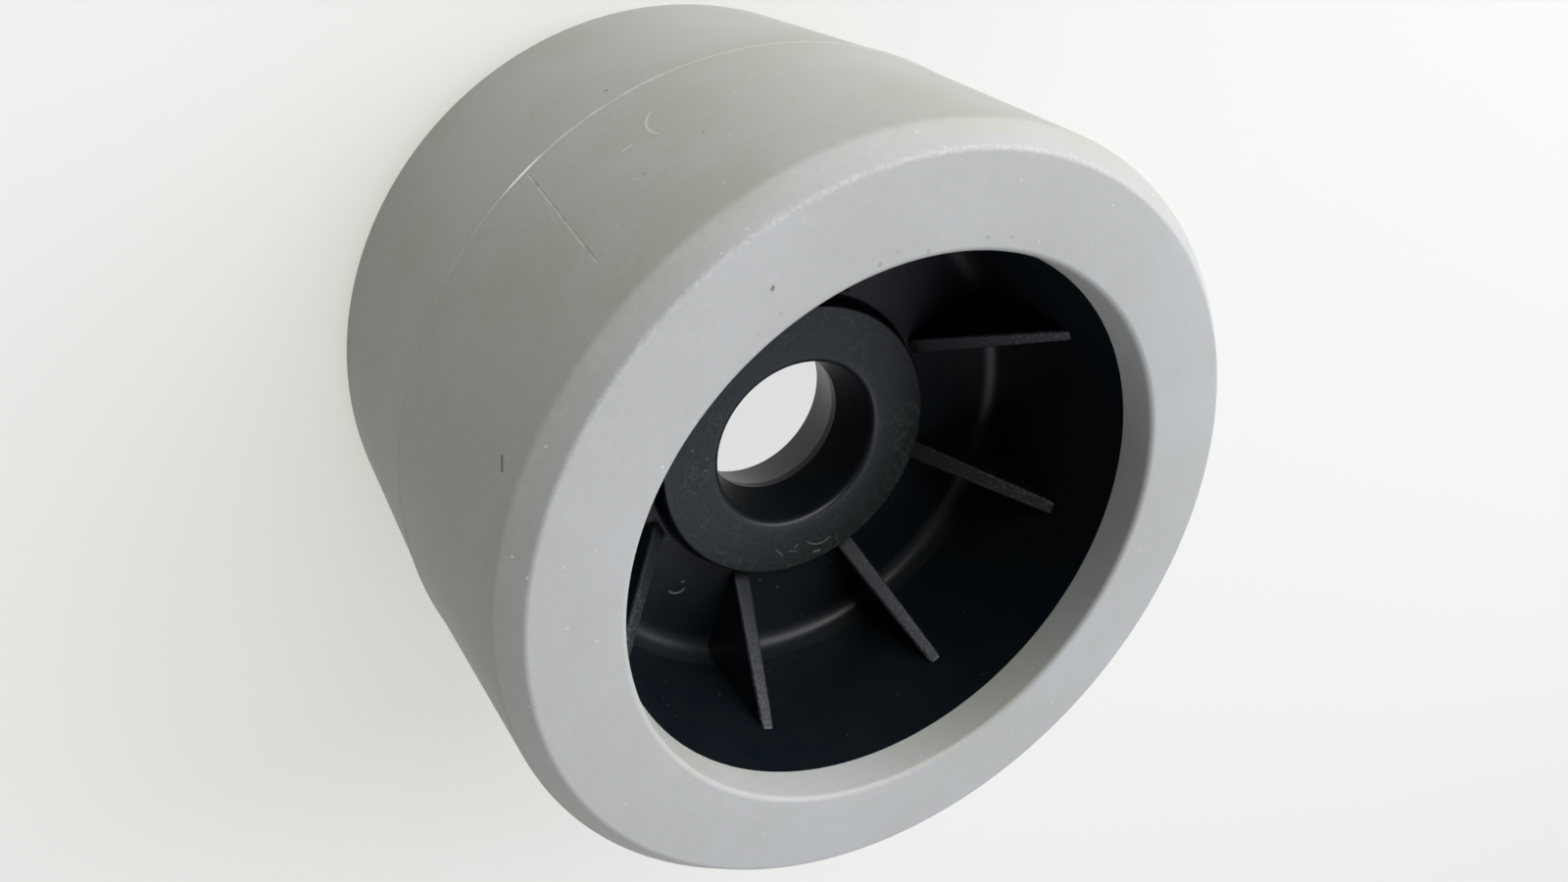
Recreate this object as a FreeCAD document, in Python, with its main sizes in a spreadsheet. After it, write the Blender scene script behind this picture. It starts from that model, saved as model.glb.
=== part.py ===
import FreeCAD, Part
import os
import Sketcher
from FreeCAD import Vector

# Wobble roller for a boat trailer: a soft tyre moulded over a ribbed one-piece core.
# Each piece is drawn as its upper half, above the parting plane, and mirrored. The bore
# runs along Z, and the roller stands on its lower end face.

doc = FreeCAD.newDocument("WobbleRoller")

# Driving dimensions, in millimetres and degrees
SIZES = [
    ("roller_width", 77.0, "overall width along the bore"),
    ("crown_diameter", 110.0, "largest diameter, over the parting line ridge"),
    ("ridge_height", 0.15, "parting line ridge above the tread"),
    ("ridge_width", 0.6, "parting line ridge at its foot"),
    ("tread_draft", 1.75, "slope of the tread from the ridge to the bevel"),
    ("bevel_width", 3.3, "bevel along the bore"),
    ("bevel_depth", 2.7, "bevel across the end face"),
    ("shoulder_round", 1.6, "round where the tread meets the bevel"),
    ("face_round", 0.9, "round where the bevel meets the end face"),
    ("tyre_thickness", 12.5, "crown of the tyre down to the barrel that it grips"),
    ("lap", 5.3, "tyre beyond the end of the core, along the bore"),
    ("lip_taper", 0.4, "how far the lip opens out over the lap"),
    ("lip_round", 0.8, "round on the edge of the opening"),
    ("barrel_wall", 3.7, "barrel wall at its end"),
    ("wall_taper", 1.4, "how much thicker the barrel wall is at the web"),
    ("floor_round", 2.3, "round between the barrel and the web"),
    ("web_thickness", 10.8, "web between the barrel and the hub"),
    ("hub_diameter", 43.2, "outside of the hub"),
    ("hub_length", 17.5, "hub from one thrust face to the other"),
    ("hub_round", 0.6, "round on the rim of a thrust face"),
    ("root_round", 1.0, "round between the hub and the web"),
    ("throat_diameter", 22.2, "narrowest part of the bore, which rocks on the spindle"),
    ("throat_length", 1.2, "straight land in the middle of the bore"),
    ("flare_depth", 1.9, "how far the bore opens out at each thrust face"),
    ("flare_round", 1.0, "round on the edge of the bore"),
    ("rib_count", 8, "ribs on each side of the web"),
    ("rib_crest", 2.0, "thickness of a rib at the top of its crest"),
    ("rib_draft", 1.5, "draft on each side of a rib"),
    ("crest_round", 0.5, "round along each edge of a crest"),
    ("rib_drop", 14.3, "end face down to where a crest meets the barrel"),
    ("rib_gap", 1.2, "hub to where a crest rises from the web"),
    ("rib_bite", 0.8, "run of a rib into the web and into the barrel"),
]

sheet = doc.addObject("Spreadsheet::Sheet", "Sizes")
for row, (alias, number, meaning) in enumerate(SIZES, start=1):
    sheet.set("A%d" % row, meaning)
    sheet.set("B%d" % row, str(number))
    sheet.setAlias("B%d" % row, alias)
doc.recompute()

# How far an edge may lie from its formulas, in millimetres, and still be the one meant
MATCH = 1e-4

# Formulas in the sheet's names. Heights are above the parting plane.
HALF_WIDTH = "Sizes.roller_width / 2"
FOOT_RADIUS = "(Sizes.crown_diameter / 2 - Sizes.ridge_height)"
FOOT_HEIGHT = "Sizes.ridge_width / 2"
SHOULDER_HEIGHT = "(Sizes.roller_width / 2 - Sizes.bevel_width)"
TREAD_RUN = "(Sizes.roller_width / 2 - Sizes.bevel_width - Sizes.ridge_width / 2)"
SHOULDER_RADIUS = "(%s - tan(Sizes.tread_draft) * %s)" % (FOOT_RADIUS, TREAD_RUN)
FACE_RADIUS = "(%s - Sizes.bevel_depth)" % SHOULDER_RADIUS
LAP_HEIGHT = "(Sizes.roller_width / 2 - Sizes.lap)"
BARREL_RADIUS = "(Sizes.crown_diameter / 2 - Sizes.tyre_thickness)"
MOUTH_RADIUS = "(%s - Sizes.barrel_wall)" % BARREL_RADIUS
FLOOR_RADIUS = "(%s - Sizes.wall_taper)" % MOUTH_RADIUS
OPENING_RADIUS = "(%s + Sizes.lip_taper)" % MOUTH_RADIUS
WEB_HEIGHT = "Sizes.web_thickness / 2"
HUB_RADIUS = "Sizes.hub_diameter / 2"
HUB_HEIGHT = "Sizes.hub_length / 2"
THROAT_RADIUS = "Sizes.throat_diameter / 2"
FLARE_RADIUS = "(%s + Sizes.flare_depth)" % THROAT_RADIUS
THROAT_HEIGHT = "Sizes.throat_length / 2"

# A rib's crest climbs at one slope from the web, just outside the hub, to the barrel
CREST_FOOT = "(Sizes.hub_diameter / 2 + Sizes.rib_gap)"
CREST_HEIGHT = "(Sizes.roller_width / 2 - Sizes.rib_drop)"
WALL_SLOPE = "((%s - %s) / (%s - %s))" % (MOUTH_RADIUS, FLOOR_RADIUS, LAP_HEIGHT, WEB_HEIGHT)
CREST_RADIUS = "(%s + %s * (%s - %s))" % (FLOOR_RADIUS, WALL_SLOPE, CREST_HEIGHT, WEB_HEIGHT)
CREST_SLOPE = "((%s - %s) / (%s - %s))" % (CREST_HEIGHT, WEB_HEIGHT, CREST_RADIUS, CREST_FOOT)

# A rib starts inside the web and ends inside the barrel, and is thickest at the parting plane
RIB_START = "(%s - Sizes.rib_bite)" % CREST_FOOT
RIB_END = "(%s + Sizes.rib_bite)" % CREST_RADIUS
LOW_CREST = "(%s - %s * Sizes.rib_bite)" % (WEB_HEIGHT, CREST_SLOPE)
HIGH_CREST = "(%s + %s * Sizes.rib_bite)" % (CREST_HEIGHT, CREST_SLOPE)
RIB_ROOT = "(Sizes.rib_crest / 2 + tan(Sizes.rib_draft) * %s)" % CREST_HEIGHT
RIB_TOP = "(%s - tan(Sizes.rib_draft) * %s)" % (RIB_ROOT, HIGH_CREST)


# The number that a formula gives
def value(formula):
    return float(sheet.evalExpression(formula))


# A body's own origin plane
def origin_plane(body, role):
    return next(plane for plane in body.Origin.OriginFeatures if plane.Role == role)


# A sketch on one of its body's origin planes
def sketch_on(body, role, name):
    sketch = body.newObject("Sketcher::SketchObject", name)
    sketch.AttachmentSupport = [(origin_plane(body, role), "")]
    sketch.MapMode = "FlatFace"
    doc.recompute()
    return sketch


# Add a constraint whose size is a formula
def dimension(sketch, name, formula, kind, *where):
    index = sketch.addConstraint(Sketcher.Constraint(kind, *where, value(formula)))
    sketch.renameConstraint(index, name)
    sketch.setExpression("Constraints." + name, formula)


# Closed outline of straight edges. A corner is its name, radius and height, as formulas.
# Corners in line share a vertical or level edge, and the rest get dimensions.
def outline(sketch, corners):
    points = [Vector(value(radius), value(height), 0) for _, radius, height in corners]
    edges = range(len(corners))
    for edge in edges:
        line = Part.LineSegment(points[edge], points[(edge + 1) % len(corners)])
        sketch.addGeometry(line, False)
    for edge in edges:
        following = (edge + 1) % len(corners)
        sketch.addConstraint(Sketcher.Constraint("Coincident", edge, 2, following, 1))
    for edge, (name, radius, height) in enumerate(corners):
        _, radius_before, height_before = corners[edge - 1]
        if edge and radius == radius_before:
            sketch.addConstraint(Sketcher.Constraint("Vertical", edge - 1))
        else:
            dimension(sketch, name + "_radius", radius, "DistanceX", -1, 1, edge, 1)
        if height == "0":
            sketch.addConstraint(Sketcher.Constraint("PointOnObject", edge, 1, -1))
        elif edge and height == height_before:
            sketch.addConstraint(Sketcher.Constraint("Horizontal", edge - 1))
        else:
            dimension(sketch, name + "_height", height, "DistanceY", -1, 1, edge, 1)


# Turn an outline round the bore
def turned(body, name, corners):
    profile = sketch_on(body, "XZ_Plane", name + "_profile")
    outline(profile, corners)
    doc.recompute()
    solid = body.newObject("PartDesign::Revolution", name)
    solid.Profile = profile
    solid.ReferenceAxis = (profile, ["V_Axis"])
    solid.Angle = 360
    body.Tip = solid
    doc.recompute()
    return solid


# Round the circle at one radius and height, whole or cut by ribs
def rounded(body, name, base, radius, height, amount):
    ring = (value(radius), value(height))
    names = []
    for number, edge in enumerate(base.Shape.Edges, start=1):
        if isinstance(edge.Curve, Part.Circle):
            gap = abs(edge.Curve.Radius - ring[0]) + abs(edge.Curve.Center.z - ring[1])
            if gap < MATCH:
                names.append("Edge%d" % number)
    fillet = body.newObject("PartDesign::Fillet", name)
    fillet.Base = (base, names)
    fillet.setExpression("Radius", amount)
    body.Tip = fillet
    doc.recompute()
    return fillet


# The other half of a piece, below the parting plane
def mirrored(body, name):
    both = body.newObject("PartDesign::Mirrored", name)
    both.TransformMode = "Whole shape"
    both.MirrorPlane = (origin_plane(body, "XY_Plane"), [""])
    body.Tip = both
    doc.recompute()
    return both


# A body that stands on its lower end
def piece(label):
    body = doc.addObject("PartDesign::Body", label)
    body.Label = label
    body.setExpression("Placement.Base.z", HALF_WIDTH)
    return body


# Grey tyre: drafted tread, bevelled shoulders, and lips that lap over the ends of the core
def make_tyre():
    tyre = piece("tyre")
    solid = turned(tyre, "tyre_ring", [
        ("ridge", "Sizes.crown_diameter / 2", "0"),
        ("foot", FOOT_RADIUS, FOOT_HEIGHT),
        ("shoulder", SHOULDER_RADIUS, SHOULDER_HEIGHT),
        ("face", FACE_RADIUS, HALF_WIDTH),
        ("opening", OPENING_RADIUS, HALF_WIDTH),
        ("lip", MOUTH_RADIUS, LAP_HEIGHT),
        ("seat", BARREL_RADIUS, LAP_HEIGHT),
        ("grip", BARREL_RADIUS, "0"),
    ])
    solid = rounded(tyre, "shoulder", solid, SHOULDER_RADIUS, SHOULDER_HEIGHT, "Sizes.shoulder_round")
    solid = rounded(tyre, "face_edge", solid, FACE_RADIUS, HALF_WIDTH, "Sizes.face_round")
    rounded(tyre, "lip_edge", solid, OPENING_RADIUS, HALF_WIDTH, "Sizes.lip_round")
    mirrored(tyre, "tyre_halves")
    return tyre


# One rib, along +X: drafted sides, a crest that climbs to the barrel, and rounds along it
def make_rib(core):
    blank = core.newObject("PartDesign::AdditiveWedge", "rib_blank")
    blank.AttachmentSupport = [(origin_plane(core, "XZ_Plane"), "")]
    blank.MapMode = "FlatFace"
    blank.setExpression("Xmin", RIB_START)
    blank.setExpression("Xmax", RIB_END)
    blank.setExpression("X2min", RIB_START)
    blank.setExpression("X2max", RIB_END)
    blank.setExpression("Ymin", "0")
    blank.setExpression("Ymax", HIGH_CREST)
    blank.setExpression("Zmin", "-" + RIB_ROOT)
    blank.setExpression("Zmax", RIB_ROOT)
    blank.setExpression("Z2min", "-" + RIB_TOP)
    blank.setExpression("Z2max", RIB_TOP)
    core.Tip = blank
    doc.recompute()

    above = sketch_on(core, "XZ_Plane", "above_crest")
    outline(above, [
        ("low", RIB_START, LOW_CREST),
        ("high", RIB_END, HIGH_CREST),
        ("over_high", RIB_END, HALF_WIDTH),
        ("over_low", RIB_START, HALF_WIDTH),
    ])
    doc.recompute()
    crest = core.newObject("PartDesign::Pocket", "crest")
    crest.Profile = above
    crest.Type = "ThroughAll"
    crest.Midplane = True
    core.Tip = crest
    doc.recompute()

    climb = (value(LOW_CREST), value(HIGH_CREST))
    names = []
    for number, edge in enumerate(crest.Shape.Edges, start=1):
        ends = sorted(vertex.Z for vertex in edge.Vertexes)
        if abs(ends[0] - climb[0]) + abs(ends[-1] - climb[1]) < MATCH:
            names.append("Edge%d" % number)
    rounds = core.newObject("PartDesign::Fillet", "crest_rounds")
    rounds.Base = (crest, names)
    rounds.setExpression("Radius", "Sizes.crest_round")
    core.Tip = rounds
    doc.recompute()


# Black core: ribs round the bore, then barrel, web and hub in one turning that joins them
def make_core():
    core = piece("core")
    core.AllowCompound = True
    make_rib(core)
    ribs = core.newObject("PartDesign::PolarPattern", "ribs")
    ribs.TransformMode = "Whole shape"
    ribs.Axis = (origin_plane(core, "Z_Axis"), [""])
    ribs.Angle = 360
    ribs.setExpression("Occurrences", "Sizes.rib_count")
    core.Tip = ribs
    doc.recompute()

    solid = turned(core, "spool", [
        ("barrel", BARREL_RADIUS, "0"),
        ("end", BARREL_RADIUS, LAP_HEIGHT),
        ("mouth", MOUTH_RADIUS, LAP_HEIGHT),
        ("floor", FLOOR_RADIUS, WEB_HEIGHT),
        ("root", HUB_RADIUS, WEB_HEIGHT),
        ("rim", HUB_RADIUS, HUB_HEIGHT),
        ("flare", FLARE_RADIUS, HUB_HEIGHT),
        ("land", THROAT_RADIUS, THROAT_HEIGHT),
        ("throat", THROAT_RADIUS, "0"),
    ])
    solid = rounded(core, "hub_root", solid, HUB_RADIUS, WEB_HEIGHT, "Sizes.root_round")
    solid = rounded(core, "hub_rim", solid, HUB_RADIUS, HUB_HEIGHT, "Sizes.hub_round")
    solid = rounded(core, "bore_edge", solid, FLARE_RADIUS, HUB_HEIGHT, "Sizes.flare_round")
    rounded(core, "floor_corner", solid, FLOOR_RADIUS, WEB_HEIGHT, "Sizes.floor_round")
    mirrored(core, "core_halves")
    return core


pieces = [make_tyre(), make_core()]
doc.recompute()

# Stop on a feature that failed, then write one file for each piece
for thing in doc.Objects:
    if {"Invalid", "Error"} & set(thing.State):
        raise RuntimeError("%s failed: %s" % (thing.Label, thing.State))
os.makedirs("parts", exist_ok=True)
for body in pieces:
    if body.Shape.isNull() or not body.Shape.isValid() or len(body.Shape.Solids) != 1:
        raise RuntimeError("%s isn't one sound solid" % body.Label)
    body.Shape.exportStep("parts/%s.step" % body.Label)
    print("%s: %.1f cm3, %d faces" % (body.Label, body.Shape.Volume / 1000, len(body.Shape.Faces)))
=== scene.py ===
import bpy
import math
from mathutils import Matrix, Vector


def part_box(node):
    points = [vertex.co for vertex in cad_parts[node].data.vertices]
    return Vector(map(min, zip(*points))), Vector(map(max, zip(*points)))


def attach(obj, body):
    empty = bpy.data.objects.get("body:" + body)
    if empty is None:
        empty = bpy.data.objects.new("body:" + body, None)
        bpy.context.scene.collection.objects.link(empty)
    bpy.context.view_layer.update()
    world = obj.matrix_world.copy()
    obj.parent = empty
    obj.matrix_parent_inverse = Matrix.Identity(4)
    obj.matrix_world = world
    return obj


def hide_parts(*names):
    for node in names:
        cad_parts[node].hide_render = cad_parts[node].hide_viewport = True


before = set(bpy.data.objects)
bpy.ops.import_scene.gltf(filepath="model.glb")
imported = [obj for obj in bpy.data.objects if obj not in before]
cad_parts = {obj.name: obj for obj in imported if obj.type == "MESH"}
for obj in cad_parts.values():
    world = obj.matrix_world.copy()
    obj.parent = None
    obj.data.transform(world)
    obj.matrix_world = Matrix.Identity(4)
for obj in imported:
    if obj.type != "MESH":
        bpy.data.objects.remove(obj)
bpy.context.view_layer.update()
mm = 0.001

# Boat trailer wobble roller. It stands on its lower end and its bore runs along Z.
# Every size below is in millimetres unless its note says otherwise.


# a socket to write sums with: each operator adds a Math node
class Wire:
    def __init__(self, shader, socket):
        self.shader = shader
        self.socket = socket

    def __add__(self, other):
        return self.shader.maths("ADD", self, other)

    def __sub__(self, other):
        return self.shader.maths("SUBTRACT", self, other)

    def __rsub__(self, other):
        return self.shader.maths("SUBTRACT", other, self)

    def __mul__(self, other):
        return self.shader.maths("MULTIPLY", self, other)

    def __truediv__(self, other):
        return self.shader.maths("DIVIDE", self, other)

    def __rtruediv__(self, other):
        return self.shader.maths("DIVIDE", other, self)

    def __pow__(self, other):
        return self.shader.maths("POWER", self, other)

    def __abs__(self):
        return self.shader.maths("ABSOLUTE", self)

    __radd__ = __add__
    __rmul__ = __mul__


# share of a mark's width, or of its sweep, that has full strength
markCore = {"stroke": 0.45, "ring": 0.3, "sweep": 0.6}


# the nodes of one material, or of the sky
class Shader:
    def __init__(self, owner):
        owner.use_nodes = True
        self.tree = owner.node_tree
        self.tree.nodes.clear()

    # settings go on first, then each socket gets a link or a value; a colour has three numbers
    def add(self, kind, settings=None, sockets=None, out=0):
        node = self.tree.nodes.new(kind)
        for name, value in (settings or {}).items():
            setattr(node, name, value)
        for name, value in (sockets or {}).items():
            socket = node.inputs[name]
            if isinstance(value, Wire):
                self.tree.links.new(value.socket, socket)
            elif socket.type == "RGBA":
                socket.default_value = (*value, 1.0)
            else:
                socket.default_value = value
        return Wire(self, node.outputs[out]) if node.outputs else None

    def maths(self, operation, *values):
        return self.add("ShaderNodeMath", {"operation": operation}, dict(enumerate(values)))

    # 1 at near and before it, 0 at far and past it, eased between
    def fade(self, value, near, far):
        return self.add("ShaderNodeMapRange", {"interpolation_type": "SMOOTHSTEP"}, {
            "Value": value, "From Min": near, "From Max": far, "To Min": 1.0, "To Max": 0.0})

    # 1 within near of a middle, 0 further from it than far
    def band(self, value, middle, near, far):
        return self.fade(abs(value - middle), near, far)

    def blend(self, amount, first, second):
        return self.add("ShaderNodeMix", {"data_type": "RGBA"},
                        {"Factor": amount, 6: first, 7: second}, 2)

    def strongest(self, *masks):
        top = masks[0]
        for mask in masks[1:]:
            top = self.maths("MAXIMUM", top, mask)
        return top

    # millimetres along X, Y and Z, from the object's own coordinates
    def place(self):
        spot = self.add("ShaderNodeTexCoord", out=3)
        return self.add("ShaderNodeVectorMath", {"operation": "SCALE"},
                        {0: spot, "Scale": 1 / mm})

    def split(self, vector):
        first = self.add("ShaderNodeSeparateXYZ", None, {0: vector})
        node = first.socket.node
        return [Wire(self, node.outputs[i]) for i in range(3)]

    def length(self, across, along):
        return self.maths("SQRT", across ** 2.0 + along ** 2.0)

    def degrees(self, across, along):
        return self.maths("ARCTAN2", along, across) * (180 / math.pi)

    # grain with features about so many millimetres across, 0 to 1
    def noise(self, vector, size, detail=2.0, rough=0.5, shift=(0, 0, 0)):
        moved = self.add("ShaderNodeVectorMath", {"operation": "ADD"}, {0: vector, 1: shift})
        return self.add("ShaderNodeTexNoise", None, {
            "Vector": moved, "Scale": 1 / size, "Detail": detail, "Roughness": rough})

    # scattered points: how near the next one is, in cells, and its own number from 0 to 1
    def scatter(self, vector, scale):
        gap = self.add("ShaderNodeTexVoronoi", None, {"Vector": vector, "Scale": scale})
        colour = Wire(self, gap.socket.node.outputs[1])
        return gap, self.split(colour)[0]

    # a straight mark, 1 on it and 0 beside it
    def stroke(self, across, along, start, end, width):
        run = (end[0] - start[0], end[1] - start[1])
        square = run[0] ** 2 + run[1] ** 2
        dx = across - start[0]
        dy = along - start[1]
        onRun = (dx * run[0] + dy * run[1]) / square
        share = self.add("ShaderNodeClamp", None, {"Value": onRun})
        gap = self.length(dx - share * run[0], dy - share * run[1])
        return self.fade(gap, width * markCore["stroke"], width)

    # part of a thin ring: centre, radius, the side it is on and half its sweep, in degrees
    def crescent(self, across, along, centre, radius, side, sweep, width):
        dx = across - centre[0]
        dy = along - centre[1]
        ring = self.band(self.length(dx, dy), radius, width * markCore["ring"], width)
        turn = math.radians(side)
        facing = (dx * math.cos(turn) + dy * math.sin(turn)) / radius
        sweep = math.radians(sweep)
        return ring * self.fade(facing, math.cos(sweep * markCore["sweep"]), math.cos(sweep))

    # marks of one kind, each row a shape with its strength last
    def marks(self, draw, across, along, rows):
        return [draw(across, along, *shape) * strength for *shape, strength in rows]

    def finish(self, surface):
        self.add("ShaderNodeOutputMaterial", None, {"Surface": surface})

    # plastic or rubber, with its relief in millimetres
    def moulded(self, colour, roughness, relief, look):
        normal = self.add("ShaderNodeBump", None,
                          {"Strength": 1.0, "Distance": mm, "Height": relief})
        self.finish(self.add("ShaderNodeBsdfPrincipled", None, {
            "Base Color": colour, "Roughness": roughness, "Normal": normal,
            "IOR": look["ior"], "Specular IOR Level": look["specular"]}))


# points on the arc that rounds a corner between its two edges
def roundedCorner(before, corner, after, radius, steps):
    corner = Vector(corner)
    toBefore = (Vector(before) - corner).normalized()
    toAfter = (Vector(after) - corner).normalized()
    half = toBefore.angle(toAfter) / 2
    start = corner + toBefore * (radius / math.tan(half))
    end = corner + toAfter * (radius / math.tan(half))
    centre = corner + (toBefore + toAfter).normalized() * (radius / math.sin(half))
    first = start - centre
    last = end - centre
    sweep = first.angle(last)
    points = []
    for i in range(steps + 1):
        t = i / steps
        spoke = first * math.sin((1 - t) * sweep) + last * math.sin(t * sweep)
        points.append(tuple(centre + spoke / math.sin(sweep)))
    return points


# an outline from its corners: radius, height, and the round on that corner
def outline(corners, steps):
    points = []
    for i, (radius, height, amount) in enumerate(corners):
        if amount:
            before = corners[i - 1][:2]
            after = corners[(i + 1) % len(corners)][:2]
            points += roundedCorner(before, (radius, height), after, amount, steps)
        else:
            points.append((radius, height))
    return points


# an outline of the upper half, mirrored for the lower one and stood on the floor
def bothHalves(upper, lowerFrom, steps, middle):
    lower = [(r, -z, amount) for r, z, amount in reversed(upper[lowerFrom:])]
    return [(r, z + middle) for r, z in outline(upper + lower, steps)]


# turn a closed outline round the bore
def turned(points, segments):
    verts = []
    for i in range(segments):
        angle = 2 * math.pi * i / segments
        verts += [(r * math.cos(angle), r * math.sin(angle), z) for r, z in points]
    count = len(points)
    faces = []
    for i in range(segments):
        here = i * count
        there = (i + 1) % segments * count
        for j in range(count):
            k = (j + 1) % count
            faces.append((here + j, there + j, there + k, here + k))
    return verts, faces


def meshObject(name, verts, faces):
    mesh = bpy.data.meshes.new(name)
    mesh.from_pydata([Vector(v) * mm for v in verts], [], faces)
    mesh.validate()
    mesh.update()
    piece = bpy.data.objects.new(name, mesh)
    bpy.context.scene.collection.objects.link(piece)
    return piece


def smooth(piece, sharpFrom):
    mesh = piece.data
    mesh.shade_smooth()
    mesh.set_sharp_from_angle(angle=math.radians(sharpFrom))


def finishAs(piece, material, node):
    piece.data.materials.clear()
    piece.data.materials.append(material)
    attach(piece, "root")
    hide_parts(node)


tyre = {
    "halfWidth": 38.5,
    "ridgeHeight": 0.15,     # parting line
    "ridgeWidth": 0.6,
    "draft": 1.75,           # degrees
    "bevelWidth": 3.3,
    "bevelDepth": 2.7,
    "shoulderRound": 1.6,
    "faceRound": 0.9,
    "opening": 39.2,         # radius of the opening in the end face
    "lipRound": 0.8,
    "lap": 5.3,
    "mouth": 38.8,           # radius where the lip ends
    "grip": 42.5,            # radius of the core under the tyre
    "segments": 288,
    "steps": 8,              # edges in each round
    "sharpFrom": 24,         # degrees between faces
    # radius of the parting line, so that the skin stays inside the CAD solid
    "crown": min(abs(edge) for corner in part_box("tyre") for edge in corner[:2]) / mm,
}


def tyreOutline(t):
    foot = t["crown"] - t["ridgeHeight"]
    footHeight = t["ridgeWidth"] / 2
    shoulderHeight = t["halfWidth"] - t["bevelWidth"]
    shoulder = foot - math.tan(math.radians(t["draft"])) * (shoulderHeight - footHeight)
    lapHeight = t["halfWidth"] - t["lap"]
    upper = [
        (t["crown"], 0.0, 0),
        (foot, footHeight, 0),
        ((foot + shoulder) / 2, (footHeight + shoulderHeight) / 2, 0),
        (shoulder, shoulderHeight, t["shoulderRound"]),
        (shoulder - t["bevelDepth"], t["halfWidth"], t["faceRound"]),
        (t["opening"], t["halfWidth"], t["lipRound"]),
        (t["mouth"], lapHeight, 0),
        (t["grip"], lapHeight, 0),
    ]
    return bothHalves(upper, 1, t["steps"], t["halfWidth"])


tyreMesh = meshObject("tyre_skin", *turned(tyreOutline(tyre), tyre["segments"]))
smooth(tyreMesh, tyre["sharpFrom"])
print("tyre turned")


core = {
    "halfHeight": 33.2,      # barrel, from the middle to its end
    "barrel": 42.5,          # radius of its outside
    "mouth": 38.8,           # radius of its inside at the end
    "floor": 37.4,           # and at the web
    "web": 5.4,              # half of its thickness
    "floorRound": 2.3,
    "hub": 21.6,             # radius
    "hubHeight": 8.75,       # from the middle to a thrust face
    "hubRound": 0.6,
    "rootRound": 1.0,
    "throat": 11.1,          # radius of the bore where it is narrowest
    "throatHeight": 0.6,     # half the length of that land
    "flare": 13.0,           # radius of the bore at a thrust face
    "flareRound": 1.0,
    "ribs": 8,               # on each side of the web
    "ribTop": 1.0,           # half of a crest's thickness at the barrel
    "ribFoot": 1.0,          # height of a rib's foot, buried in the web
    "ribDraft": 1.5,         # degrees
    "crestRound": 0.5,
    "crestFoot": 22.8,       # where a crest rises from the web
    "crestHeight": 24.2,     # where it meets the barrel
    "bite": 0.8,             # how far a rib runs on into web and barrel
    "segments": 256,
    "steps": 10,
    "sharpFrom": 11,         # degrees between faces
}


def coreOutline(c, middle):
    upper = [
        (c["barrel"], c["halfHeight"], 0),
        (c["mouth"], c["halfHeight"], 0),
        (c["floor"], c["web"], c["floorRound"]),
        (c["hub"], c["web"], c["rootRound"]),
        (c["hub"], c["hubHeight"], c["hubRound"]),
        (c["flare"], c["hubHeight"], c["flareRound"]),
        (c["throat"], c["throatHeight"], 0),
    ]
    return bothHalves(upper, 0, c["steps"], middle)


# the radius where a crest meets the barrel, and how steeply it rises to there
def crestLine(c):
    wallSlope = (c["mouth"] - c["floor"]) / (c["halfHeight"] - c["web"])
    crestEnd = c["floor"] + wallSlope * (c["crestHeight"] - c["web"])
    return crestEnd, (c["crestHeight"] - c["web"]) / (crestEnd - c["crestFoot"])


# one rib as a closed strip: its cross-section where it starts and where it ends
def ribSections(c):
    crestEnd, slope = crestLine(c)
    draft = math.tan(math.radians(c["ribDraft"]))
    root = c["ribTop"] + draft * c["crestHeight"]
    tall = c["crestRound"] * math.hypot(1, slope)    # height of the sloping round, cut upright
    sections = []
    for reach, height in (
        (c["crestFoot"] - c["bite"], c["web"] - slope * c["bite"]),
        (crestEnd + c["bite"], c["crestHeight"] + slope * c["bite"]),
    ):
        half = root - draft * (height - tall)
        side = [(root - draft * c["ribFoot"], c["ribFoot"])]
        for i in range(c["steps"] + 1):
            turn = math.pi / 2 * i / c["steps"]
            side.append((half - c["crestRound"] * (1 - math.cos(turn)),
                         height - tall * (1 - math.sin(turn))))
        left = [(-y, z) for y, z in reversed(side)]
        sections.append([(reach, y, z) for y, z in side + left])
    return sections


def ribMesh(c, middle):
    first, last = ribSections(c)
    count = len(first)
    verts = []
    faces = []
    for flip in (1, -1):
        for i in range(c["ribs"]):
            turn = Matrix.Rotation(2 * math.pi * i / c["ribs"], 3, "Z")
            base = len(verts)
            for x, y, z in first + last:
                spot = turn @ Vector((x, y, z * flip))
                verts.append((spot.x, spot.y, spot.z + middle))
            near = list(range(base, base + count))
            far = list(range(base + count, base + 2 * count))
            new = [(near[j], near[(j + 1) % count], far[(j + 1) % count], far[j])
                   for j in range(count)]
            new += [tuple(reversed(near)), tuple(far)]
            faces += [tuple(reversed(f)) for f in new] if flip == 1 else new
    return verts, faces


def union(base, other):
    joining = base.modifiers.new("join", "BOOLEAN")
    joining.operation = "UNION"
    joining.solver = "EXACT"
    joining.object = other
    graph = bpy.context.evaluated_depsgraph_get()
    joined = bpy.data.meshes.new_from_object(base.evaluated_get(graph))
    base.modifiers.clear()
    base.data = joined
    bpy.data.objects.remove(other)


coreMesh = meshObject("core_body", *turned(coreOutline(core, tyre["halfWidth"]),
                                           core["segments"]))
union(coreMesh, meshObject("core_ribs", *ribMesh(core, tyre["halfWidth"])))
smooth(coreMesh, core["sharpFrom"])
print("core turned, with", 2 * core["ribs"], "ribs:", len(coreMesh.data.polygons), "faces")


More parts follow.
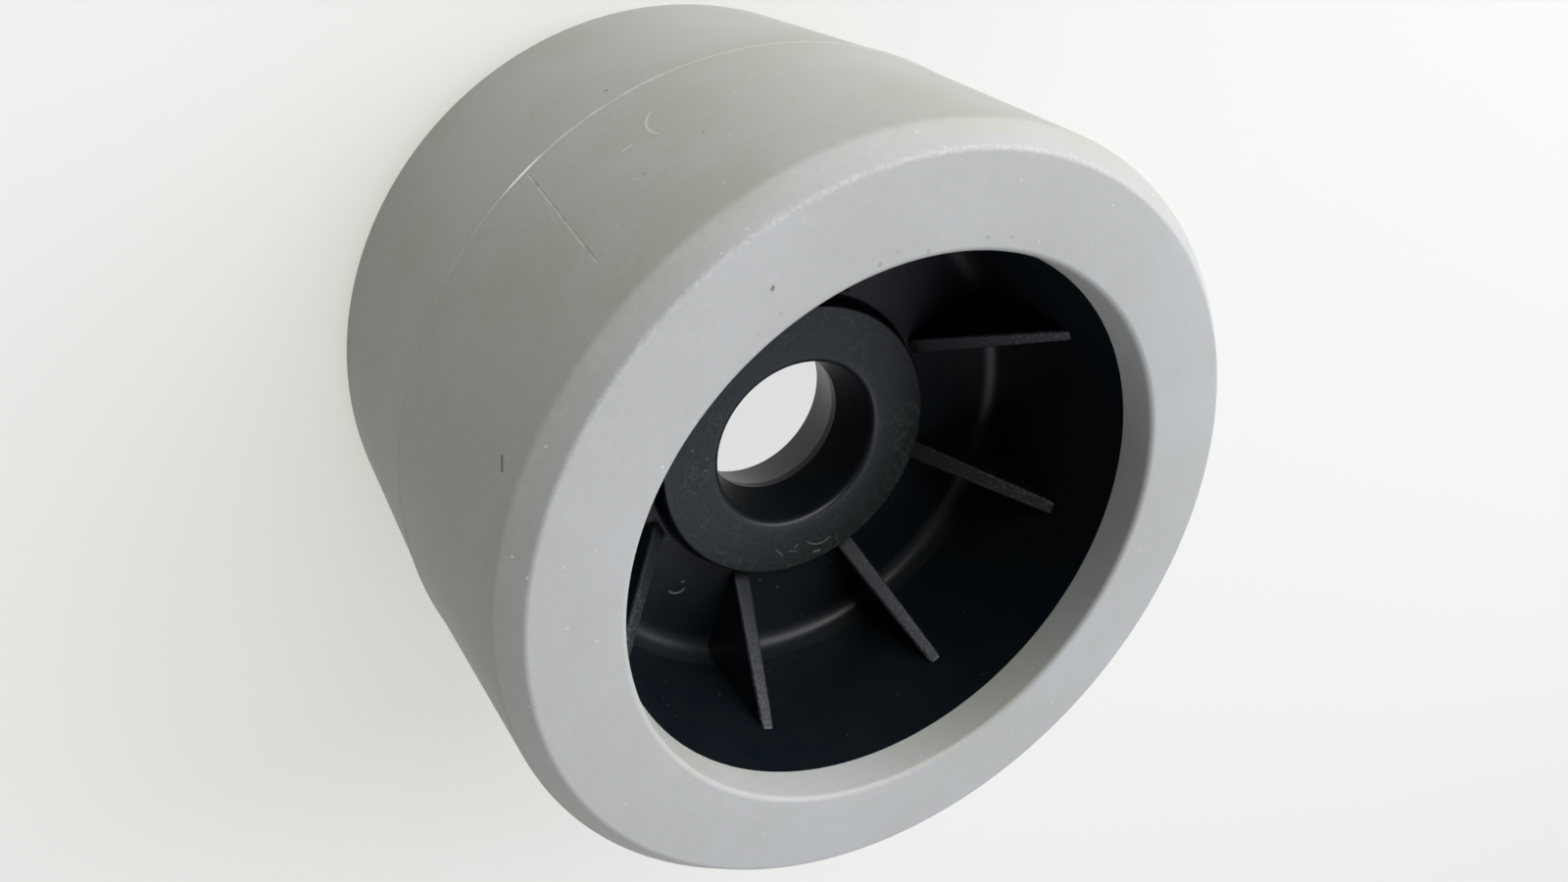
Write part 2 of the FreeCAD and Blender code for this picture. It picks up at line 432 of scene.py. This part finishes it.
# A pair says where something is full and where it is gone. A band gives its middle first.
grey = {
    "light": (0.244, 0.247, 0.220),
    "dark": (0.218, 0.222, 0.180),
    "endLight": (0.241, 0.2405, 0.224),    # less olive, on the end faces and bevels: a painted light tint, cooler where light comes from above
    "endDark": (0.221, 0.2200, 0.199),
    "rubAndGlint": (0.56, 0.55, 0.46),             # scuffs, flecks, and painted highlights: the parting line's thread and the glint on one edge of the bevel
    "dirt": (0.060, 0.058, 0.055),         # the cut, specks and pits
    "roughness": 0.57,
    "specular": 0.32,
    "ior": 1.5,
    "treadRadius": 54.3,                   # runs round the tread are measured here
    "treadFrom": (52.6, 52.0),             # radius
    "lipTo": (39.3, 40.0),                 # radius
    "lipTint": 0.65,                       # how much of the tread's tint the lip keeps
    # grains: millimetres across, detail, roughness, shift
    "grains": {
        "cloud": (14.0, 3.0),
        "wide": (34.0, 2.0, 0.5, (6, 2, 8)),
        "fine": (0.9, 3.0, 0.6, (7, 3, 1)),
        "patch": (3.0, 2.0, 0.5, (2, 9, 4)),
        "weak": (2.2, 2.0, 0.5, (5, 5, 2)),
        "grit": (0.5, 2.0, 0.6, (4, 6, 9)),
        "grain": (0.22, 2.0, 0.6),
        "peel": (2.6, 2.0, 0.5, (1, 2, 3)),
    },
    "toneShares": (0.4, 0.35, 0.25),       # of wide, cloud and fine
    "toneRange": (0.62, 0.38),
    # painted highlight along the parting line, drawn as a thread
    "threadThick": (104, 1.0, 5.0),        # degrees round the tread
    "threadFaint": (97, 8.0, 24.0),
    "threadPatch": (0.62, 0.42),
    "threadThin": (0.06, 0.20),            # half its width, inner and outer edge
    "threadExtra": (0.06, 0.12),           # added where it is thick
    "threadWeak": 0.28,                    # strength where it fades
    # marks: start, end, width; on the tread they are placed by a run round it and a height
    "cut": ((97.95, 39.6), (100.35, 65.0), 0.14),
    "cutRange": (0.60, 0.40),
    "cutStrength": (0.16, 0.34),           # everywhere, and added where it is deep
    "cutEdge": ((98.15, 39.6), (100.55, 65.0), 0.13),
    "cutEdgeStrength": 0.30,
    # centre, radius, side and half sweep in degrees, width, strength
    "scuffs": [((79.9, 50.65), 5.0, -18, 44, 0.22, 0.32)],
    # start, end, width, strength
    "nicks": [((87.7, 50.9), (88.9, 50.87), 0.22, 0.24)],
    "treadSpecks": [
        ((83.38, 34.34), (83.48, 34.32), 0.34, 1.0),
        ((123.3, 68.8), (124.4, 69.8), 0.36, 1.0),
        ((89.6, 58.17), (89.7, 58.2), 0.28, 0.6),
        ((81.28, 57.6), (81.35, 57.65), 0.28, 0.6),
    ],
    "endSpecks": [((-2.36, 44.58), (-2.2, 44.7), 0.30, 1.0)],
    # scattered points: cells to a millimetre, size in cells, and which of them show
    "speckScale": 0.16,
    "speckSize": (0.014, 0.040),
    "speckShare": (0.07, 0.09),
    "fleckScale": 0.55,
    "fleckSize": (0.05, 0.16),
    "fleckShare": (0.12, 0.16),
    "fleckExtra": 0.25,                    # more of them on the edges
    "fleckStrength": 0.36,                 # away from the edges
    "pitSize": (0.10, 0.20),
    "pitShare": (0.5, 0.28, 0.30),
    "pitRadius": (40.7, 0.6, 1.4),
    "pitDegrees": (75, 20.0, 45.0),
    # edges of the bevel: radius, and height from the middle
    "shoulderEdge": ((52.6, 0.5, 1.2), (35.4, 0.8, 1.8)),
    "faceEdge": ((51.1, 0.2, 0.7), (38.4, 0.3, 0.7)),
    # next: painted highlight along one side of the end face's edge
    "glintEdge": ((51.0, 0.15, 0.55), (38.5, 0.5, 0.8)),
    "glintDegrees": (80, 30.0, 70.0),
    "glintRange": (0.66, 0.40),
    "strength": {"fleck": 0.5, "edge": 0.12, "cut": 0.8, "speck": 0.5, "pits": 0.42,
                 "dirt": 0.85},
    "rougher": {"cloud": 0.12, "fine": 0.08, "pale": 0.1},
    "relief": {"grain": 0.010, "peel": 0.018, "thread": 0.03, "cut": 0.04, "cutEdge": 0.02},
}


def greyElastomer(g, middle):
    material = bpy.data.materials.new("greyElastomer")
    s = Shader(material)
    spot = s.place()
    x, y, z = s.split(spot)
    radius = s.length(x, y)
    degrees = s.degrees(x, y)
    around = degrees * (math.radians(1) * g["treadRadius"])
    height = abs(z - middle)
    noise = {name: s.noise(spot, *grain) for name, grain in g["grains"].items()}

    # mottled tone, painted less olive on the end faces and bevels than on tread and lip: a
    # painted light tint, warm bounce on the sideways faces and cooler light from above
    wide, cloud, fine = (noise[name] for name in ("wide", "cloud", "fine"))
    shares = g["toneShares"]
    tone = wide * shares[0] + cloud * shares[1] + fine * shares[2]
    lighter = s.fade(tone, *g["toneRange"])
    onTread = s.fade(radius, *g["treadFrom"])
    onLip = s.fade(radius, *g["lipTo"])
    endFaceTint = (1 - onTread) * (1 - onLip * g["lipTint"])
    colour = s.blend(endFaceTint, s.blend(lighter, g["dark"], g["light"]),
                     s.blend(lighter, g["endDark"], g["endLight"]))

    # parting line: a painted highlight along its ridge, a bright thread near its middle, thin
    # and fading away to both sides
    thick = s.band(degrees, *g["threadThick"])
    worn = s.band(degrees, *g["threadFaint"]) * s.fade(noise["patch"], *g["threadPatch"])
    inner, outer = (thin + thick * extra
                    for thin, extra in zip(g["threadThin"], g["threadExtra"]))
    ridge = s.fade(height, inner, outer) * onTread
    thread = ridge * s.strongest(thick, worn * g["threadWeak"])

    # long cut across the tread, dark with a pale edge, and small scuffs beside it
    weak = s.fade(noise["weak"], *g["cutRange"])
    shallow, deeper = g["cutStrength"]
    cut = s.stroke(around, z, *g["cut"]) * (shallow + weak * deeper)
    cutEdge = s.stroke(around, z, *g["cutEdge"]) * ((1 - weak) * g["cutEdgeStrength"])
    scuffs = (s.marks(s.crescent, around, z, g["scuffs"])
              + s.marks(s.stroke, around, z, g["nicks"]))

    # dark specks, sparse, and pale flecks with more of them along the edges of the bevel
    gap, pick = s.scatter(spot, g["speckScale"])
    speck = s.fade(gap, *g["speckSize"]) * s.fade(pick, *g["speckShare"])
    specks = (s.marks(s.stroke, around, z, g["treadSpecks"])
              + s.marks(s.stroke, x, y, g["endSpecks"]))
    gap, pick = s.scatter(spot, g["fleckScale"])
    onEdge = s.strongest(*(s.band(radius, *atRadius) * s.band(height, *atHeight)
                           for atRadius, atHeight in (g["shoulderEdge"], g["faceEdge"])))
    extra = onEdge * g["fleckExtra"]
    shown = s.fade(pick, *(share + extra for share in g["fleckShare"]))
    shown = shown * (g["fleckStrength"] + onEdge * (1 - g["fleckStrength"]))
    fleck = s.fade(gap, *g["fleckSize"]) * shown

    # edge between the bevel and the end face, paler along one side: a painted highlight, the
    # glint of that rim
    atRadius, atHeight = g["glintEdge"]
    edge = s.band(radius, *atRadius) * s.band(height, *atHeight)
    edge = edge * s.fade(noise["grit"], *g["glintRange"]) * s.band(degrees, *g["glintDegrees"])

    # small pits in the lip, on one side of the opening
    pits = s.fade(gap, *g["pitSize"]) * s.band(pick, *g["pitShare"])
    pits = pits * s.band(radius, *g["pitRadius"]) * s.band(degrees, *g["pitDegrees"])

    strength = g["strength"]
    pale = s.strongest(thread, cutEdge, *scuffs,
                       fleck * strength["fleck"], edge * strength["edge"])
    dark = s.strongest(cut * strength["cut"], speck * strength["speck"],
                       pits * strength["pits"], *specks)
    colour = s.blend(pale, colour, g["rubAndGlint"])
    colour = s.blend(dark * strength["dirt"], colour, g["dirt"])

    rougher = g["rougher"]
    roughness = (g["roughness"] + (cloud - 0.5) * rougher["cloud"]
                 + (fine - 0.5) * rougher["fine"] + pale * rougher["pale"])
    relief = g["relief"]
    bumps = (noise["grain"] * relief["grain"] + noise["peel"] * relief["peel"]
             + thread * relief["thread"] - cut * relief["cut"] + cutEdge * relief["cutEdge"])
    s.moulded(colour, roughness, bumps, g)
    return material


finishAs(tyreMesh, greyElastomer(grey, tyre["halfWidth"]), "tyre")
print("tyre finished")


black = {
    "deep": (0.0015, 0.0031, 0.0044),
    "worn": (0.0084, 0.0103, 0.0090),
    "dustAndSheen": (0.086, 0.088, 0.086),         # scuffs, specks and rubbed places, and painted highlight on the bore's edge, the foot round and the crests
    "roughness": 0.34,
    "specular": 0.23,
    "ior": 1.5,
    # grains: millimetres across, detail, roughness, shift
    "grains": {
        "cloud": (6.0, 3.0),
        "fine": (0.7, 3.0, 0.6, (3, 1, 8)),
        "grain": (0.30, 2.0, 0.6, (4, 4, 1)),
        "swirl": (2.6, 4.0, 0.62, (9, 2, 5)),
        "grit": (0.42, 2.0, 0.6, (8, 6, 3)),
    },
    "toneRange": (0.66, 0.36),
    "wornShare": 0.14,                     # of the worn tone, where the tone is light
    "faceShare": (0.50, 0.35),             # on the thrust faces: everywhere, and added there
    # crests: half width, height from the crest's line, outer and inner end
    "crestWidth": (1.8, 2.1),
    "crestDepth": (-0.7, -1.0),
    "crestOuter": (38.0, 38.3),
    "crestInner": (22.9, 22.6),
    "crestOutward": (37.5, 24.0),             # radius; dust and painted highlight grow toward the barrel
    "crestDust": (0.01, 0.17),             # everywhere, and added toward the barrel, where it is partly a painted highlight
    "crestGrit": (0.62, 0.48),
    "crestSpeckle": (0.25, 1.5),           # everywhere, and added on the grit
    # thrust faces: turned marks and swirls
    "faceDepth": (0.02, 0.10),
    "rings": {"Scale": 1.0, "Detail": 3.0, "Roughness": 0.65},
    "ringsToMillimetre": 2.6,
    "ringRange": (0.60, 0.44),
    "ringPatches": (0.35, 0.62),
    "swirlLine": (0.5, 0.004, 0.028),
    "swirlPatches": (0.60, 0.40),
    "rimRadius": (13.5, 0.5, 0.9),         # edge of the bore, paler: partly worn, partly a painted highlight
    "rimHeight": (8.0, 7.6),
    "footRadius": (36.6, 1.0, 2.2),        # round at the foot of the barrel, paler: partly dust, partly a painted highlight
    "footHeight": (8.0, 9.5),
    "upperFrom": 0.5,                      # height over the middle, for scuffs and rim
    # scattered specks: cells to a millimetre, size in cells, and which of them show
    "speckScale": 0.60,
    "speckSize": (0.05, 0.13),
    "speckShare": (0.10, 0.13),
    # centre, radius, side and half sweep in degrees, width, strength
    "crescents": [
        ((-3.0, -15.9), 2.7, 240, 54, 0.22, 0.55),
        ((-25.35, -10.8), 1.55, 236, 64, 0.24, 0.60),
        ((13.2, 12.4), 1.9, 20, 80, 0.22, 0.16),
        ((-16.6, -6.9), 1.5, 200, 70, 0.22, 0.14),
    ],
    # start, end, width, strength
    "strokes": [
        ((-5.6, -19.0), (-4.7, -19.5), 0.26, 0.60),
        ((-10.5, -14.1), (-10.1, -15.7), 0.22, 0.40),
        ((-7.8, -15.95), (-7.25, -15.77), 0.22, 0.40),
        ((-8.8, -15.9), (-8.0, -16.65), 0.22, 0.32),
        ((-24.6, -11.0), (-24.4, -11.1), 0.24, 0.40),
        ((-23.1, -2.5), (-23.0, -2.7), 0.24, 0.45),
        ((-22.1, -4.2), (-22.0, -4.4), 0.22, 0.35),
        ((-14.6, -20.2), (-14.4, -20.4), 0.26, 0.35),
        ((-12.8, -23.7), (-12.6, -23.9), 0.24, 0.30),
        ((-13.8, 10.6), (-13.7, 10.4), 0.26, 0.40),
        ((-12.7, 7.9), (-12.6, 7.7), 0.26, 0.40),
        ((-13.7, 6.4), (-13.6, 6.2), 0.26, 0.40),
        ((2.0, -21.3), (2.2, -21.2), 0.22, 0.35),
    ],
    "strength": {"rings": 0.08, "swirl": 0.20, "rim": 0.08, "foot": 0.05, "speck": 0.35},
    "rimCoarse": 0.3,                      # beside the foot's round, which is 1
    "rougher": {"cloud": 0.10, "crest": 0.20, "coarse": 0.08, "scuff": 0.2},
    "relief": {"grain": 0.006, "grit": 0.040, "fine": 0.006, "rings": 0.004},
}


def blackPlastic(b, c, middle):
    material = bpy.data.materials.new("blackPlastic")
    s = Shader(material)
    spot = s.place()
    x, y, z = s.split(spot)
    radius = s.length(x, y)
    degrees = s.degrees(x, y)
    height = abs(z - middle)
    upper = s.fade(z, middle + b["upperFrom"], middle)
    noise = {name: s.noise(spot, *grain) for name, grain in b["grains"].items()}
    cloud, fine, grit = (noise[name] for name in ("cloud", "fine", "grit"))

    # crests of the ribs: everything higher than a line just under them
    halfStep = 180 / c["ribs"]
    turn = s.maths("PINGPONG", degrees + 360, halfStep)
    aside = s.maths("SINE", turn * (math.pi / 180)) * radius
    above = height - c["web"] - (radius - c["crestFoot"]) * crestLine(c)[1]
    crest = s.fade(aside, *b["crestWidth"]) * s.fade(above, *b["crestDepth"])
    crest = crest * s.fade(radius, *b["crestOuter"]) * s.fade(radius, *b["crestInner"])

    # thrust faces: turned marks that fade in and out, and swirls rubbed in by the bracket
    onFace = s.band(height, c["hubHeight"], *b["faceDepth"])
    rings = s.add("ShaderNodeTexNoise", {"noise_dimensions": "1D"},
                  {"W": radius * b["ringsToMillimetre"], **b["rings"]})
    brushed = s.fade(rings, *b["ringRange"]) * onFace * s.fade(cloud, *b["ringPatches"])
    swirl = s.band(noise["swirl"], *b["swirlLine"]) * onFace
    swirl = swirl * s.fade(cloud, *b["swirlPatches"])

    # small scuffs on the upper thrust face and the web beside it, and specks all over
    scuff = upper * s.strongest(*s.marks(s.crescent, x, y, b["crescents"]),
                                *s.marks(s.stroke, x, y, b["strokes"]))
    gap, pick = s.scatter(spot, b["speckScale"])
    speck = s.fade(gap, *b["speckSize"]) * s.fade(pick, *b["speckShare"])

    # edge of the bore, and the round at the foot of the barrel, coarser than the walls and
    # paler: partly worn and dusty, partly a painted highlight
    rim = s.band(radius, *b["rimRadius"]) * s.fade(height, *b["rimHeight"]) * upper
    footRound = s.band(radius, *b["footRadius"]) * s.fade(height, *b["footHeight"])
    coarse = s.strongest(footRound, rim * b["rimCoarse"])

    light = s.fade(cloud * 0.5 + fine * 0.5, *b["toneRange"])
    plain, added = b["faceShare"]
    colour = s.blend(light * b["wornShare"] + onFace * (plain + light * added),
                     b["deep"], b["worn"])
    # crests: dust, with more toward the barrel that is partly a painted highlight of the key
    plain, added = b["crestDust"]
    crestDustAndSheen = crest * (plain + s.fade(radius, *b["crestOutward"]) * added)
    plain, added = b["crestSpeckle"]
    speckled = plain + s.fade(grit, *b["crestGrit"]) * added
    colour = s.blend(crestDustAndSheen * speckled, colour, b["dustAndSheen"])
    strength = b["strength"]
    rubbedAndSheen = s.strongest(brushed * strength["rings"], swirl * strength["swirl"],
                         rim * strength["rim"], footRound * strength["foot"])
    colour = s.blend(rubbedAndSheen, colour, b["dustAndSheen"])
    colour = s.blend(s.strongest(scuff, speck * strength["speck"]), colour, b["dustAndSheen"])

    rougher = b["rougher"]
    roughness = (b["roughness"] + (cloud - 0.5) * rougher["cloud"] + crest * rougher["crest"]
                 + coarse * rougher["coarse"] + scuff * rougher["scuff"])
    relief = b["relief"]
    bumps = (noise["grain"] * relief["grain"] + grit * crest * relief["grit"]
             + fine * relief["fine"] + rings * onFace * relief["rings"])
    s.moulded(colour, roughness, bumps, b)
    return material


finishAs(coreMesh, blackPlastic(black, core, tyre["halfWidth"]), "core")
print("core finished")


studio = {
    "floorSize": 30.0,                      # metres
    "floorColour": (0.20, 0.20, 0.20),
    "floorRoughness": 0.9,
    "floorGlow": (0.500, 0.495, 0.440),
    "padGlow": (0.73, 0.735, 0.73),         # brighter patch of it, under the roller
    "padRadius": (45.0, 46.0),              # where the patch starts to fade, and its edge
    # each panel: azimuth and elevation in degrees, distance and size in metres, watts, colour
    "panels": {
        "keyPanel": (14.0, 28.0, 1.2, 1.4, 33.0, (0.96, 0.97, 1.07)),
        "sidePanel": (63.0, 39.0, 1.2, 0.6, 9.8, (0.98, 1.0, 1.04)),
    },
    # each part of the sky: azimuth and elevation in degrees, brightness
    "skyParts": [
        (270.0, 50.0, (1.06, 1.14, 1.44)),
        (220.0, 35.0, (2.46, 2.54, 2.80)),
        (334.0, 35.0, (1.50, 1.60, 1.76)),
    ],
    "skyFade": (0.98, 0.70),                # cosines of the angles where a part fades
    "skyRest": (0.06, 0.07, 0.08),
    "domeRadius": 4.0,                      # metres
    "domeSkin": 1.01,                       # outer radius over inner radius
    "domeGlow": (0.93, 0.93, 0.93),
    "domeSteps": 24,
    "domeHole": 1.0,                        # radius left open at the top
}


def direction(azimuth, elevation):
    turn = math.radians(azimuth)
    rise = math.radians(elevation)
    return Vector((math.cos(turn) * math.cos(rise), math.sin(turn) * math.cos(rise),
                   math.sin(rise)))


def layFloor(s):
    half = s["floorSize"] / 2 / mm
    corners = [(-half, -half, 0), (half, -half, 0), (half, half, 0), (-half, half, 0)]
    floor = meshObject("floor", corners, [(0, 1, 2, 3)])
    material = bpy.data.materials.new("litFloor")
    shader = Shader(material)
    x, y, _ = shader.split(shader.place())
    under = shader.fade(shader.length(x, y), *s["padRadius"])
    shader.finish(shader.add("ShaderNodeBsdfPrincipled", None, {
        "Base Color": s["floorColour"], "Roughness": s["floorRoughness"],
        "Specular IOR Level": 0.0, "Emission Strength": 1.0,
        "Emission Color": shader.blend(under, s["floorGlow"], s["padGlow"])}))
    floor.data.materials.append(material)


# plain backdrop behind the floor, seen by the camera only, so that it lights nothing
def raiseDome(s):
    radius = s["domeRadius"] / mm
    turns = [math.pi / 2 * i / s["domeSteps"] for i in range(s["domeSteps"])]
    inner = [(radius * math.cos(t), radius * math.sin(t)) for t in turns]
    inner.append((s["domeHole"], radius))
    outer = [(r * s["domeSkin"], z * s["domeSkin"]) for r, z in reversed(inner)]
    dome = meshObject("backdrop", *turned(inner + outer, 4 * s["domeSteps"]))
    material = bpy.data.materials.new("paleBackdrop")
    shader = Shader(material)
    shader.finish(shader.add("ShaderNodeEmission", None,
                             {"Color": s["domeGlow"], "Strength": 1.0}))
    dome.data.materials.append(material)
    for rays in ("diffuse", "glossy", "transmission", "volume_scatter", "shadow"):
        setattr(dome, "visible_" + rays, False)


def lightSky(s):
    world = bpy.data.worlds.new("softSky")
    bpy.context.scene.world = world
    shader = Shader(world)
    look = shader.add("ShaderNodeTexCoord", out=0)
    colour = s["skyRest"]
    for azimuth, elevation, bright in s["skyParts"]:
        facing = shader.add("ShaderNodeVectorMath", {"operation": "DOT_PRODUCT"},
                            {0: look, 1: direction(azimuth, elevation)}, 1)
        colour = shader.blend(shader.fade(facing, *s["skyFade"]), colour, bright)
    sky = shader.add("ShaderNodeBackground", None, {"Color": colour, "Strength": 1.0})
    shader.add("ShaderNodeOutputWorld", None, {"Surface": sky})


def hangPanel(name, target, azimuth, elevation, distance, size, power, colour):
    lamp = bpy.data.lights.new(name, "AREA")
    lamp.shape = "DISK"
    lamp.size = size
    lamp.energy = power
    lamp.color = colour
    panel = bpy.data.objects.new(name, lamp)
    toward = direction(azimuth, elevation)
    panel.location = target + toward * distance
    panel.rotation_euler = toward.to_track_quat("Z", "Y").to_euler()
    bpy.context.scene.collection.objects.link(panel)


camera = {
    "place": (-33.543, 114.583, 182.170),
    "aim": (-0.196, -2.955, 40.912),
    "roll": 131.954,                        # degrees
    "lens": 28.6245,
    "sensor": 36.0,
    "clip": (0.005, 50.0),                  # metres
}


def placeCamera(c):
    data = bpy.data.cameras.new("camera")
    data.lens = c["lens"]
    data.sensor_width = c["sensor"]
    data.clip_start, data.clip_end = c["clip"]
    eye = bpy.data.objects.new("camera", data)
    place = Vector(c["place"]) * mm
    back = (place - Vector(c["aim"]) * mm).normalized()
    level = back.to_track_quat("Z", "Y").to_matrix()
    turn = Matrix.Rotation(math.radians(c["roll"]), 3, "Z")
    eye.matrix_world = Matrix.Translation(place) @ (level @ turn).to_4x4()
    bpy.context.scene.collection.objects.link(eye)
    bpy.context.scene.camera = eye


layFloor(studio)
raiseDome(studio)
lightSky(studio)
for name, panel in studio["panels"].items():
    hangPanel(name, Vector((0, 0, tyre["halfWidth"] * mm)), *panel)
placeCamera(camera)
bpy.context.scene.view_settings.view_transform = "Standard"
print("studio lit")
